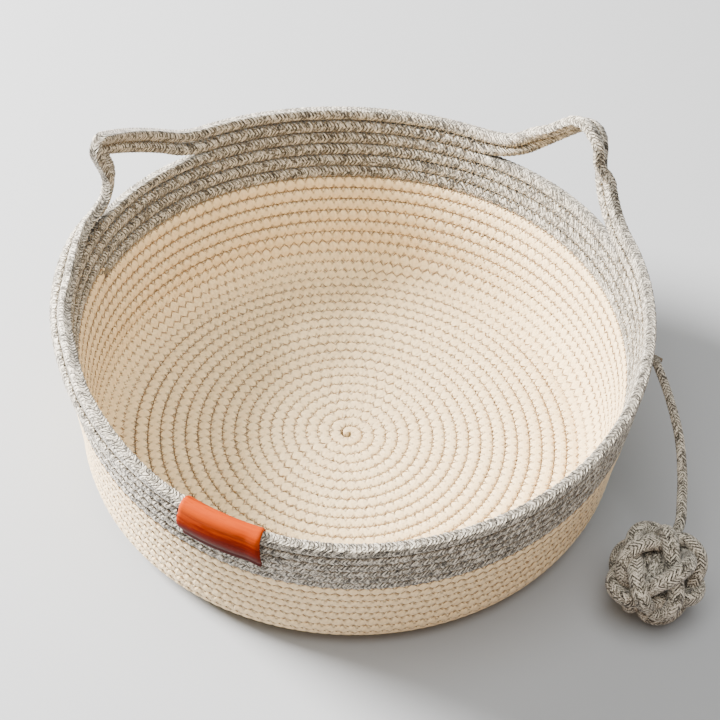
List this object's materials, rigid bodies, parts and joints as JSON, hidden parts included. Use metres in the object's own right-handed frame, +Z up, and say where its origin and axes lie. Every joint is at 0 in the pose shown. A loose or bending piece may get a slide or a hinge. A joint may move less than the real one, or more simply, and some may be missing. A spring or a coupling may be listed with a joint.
{
  "type": "coiled rope pet bed",
  "caption": "Round pet bed basket coiled from cream and grey cotton rope, with cat-ear loops, a leather rim tab and a knotted ball toy on a cord.",
  "frame": {"origin": "centre of the underside of the coiled base, where it rests on the floor", "axes": "+Z up; the front of the bed with the leather tab faces -Y; the ears are at the back, +Y; +X is the right-hand side, where the toy hangs"},
  "size_m": [0.4199, 0.393, 0.1723],
  "materials": {
    "cream_rope": "braided cotton rope",
    "grey_rope": "flecked braided cotton rope",
    "sewing_thread": "matt thread",
    "tab_leather": "smooth, slightly glossy"
  },
  "bodies": {
    "bed": {"base_coil": "cream_rope", "heel_coil": "cream_rope", "wall_coil": "cream_rope", "rope_splice": "cream_rope", "grey_band": "grey_rope", "rim_front": "grey_rope", "rim_back": "grey_rope", "left_ear": "grey_rope", "right_ear": "grey_rope", "base_thread": "sewing_thread", "wall_thread": "sewing_thread", "band_thread": "sewing_thread", "leather_tab": "tab_leather"},
    "tack": {"cord_tack": "grey_rope"},
    "toy": {"toy_cord": "grey_rope", "ball_core": "cream_rope", "ball_knot": "grey_rope"}
  },
  "joints": [
    {"name": "toy_sweep", "type": "hinge", "parent": "bed", "child": "tack", "pos_m": [0.198, -0.007, 0.097], "axis": [0, 0, 1], "range_deg": [-6, 120]},
    {"name": "toy_lift", "type": "hinge", "parent": "tack", "child": "toy", "pos_m": [0.198, -0.007, 0.097], "axis": [-1, 0, 0], "range_deg": [0, 90]}
  ]
}
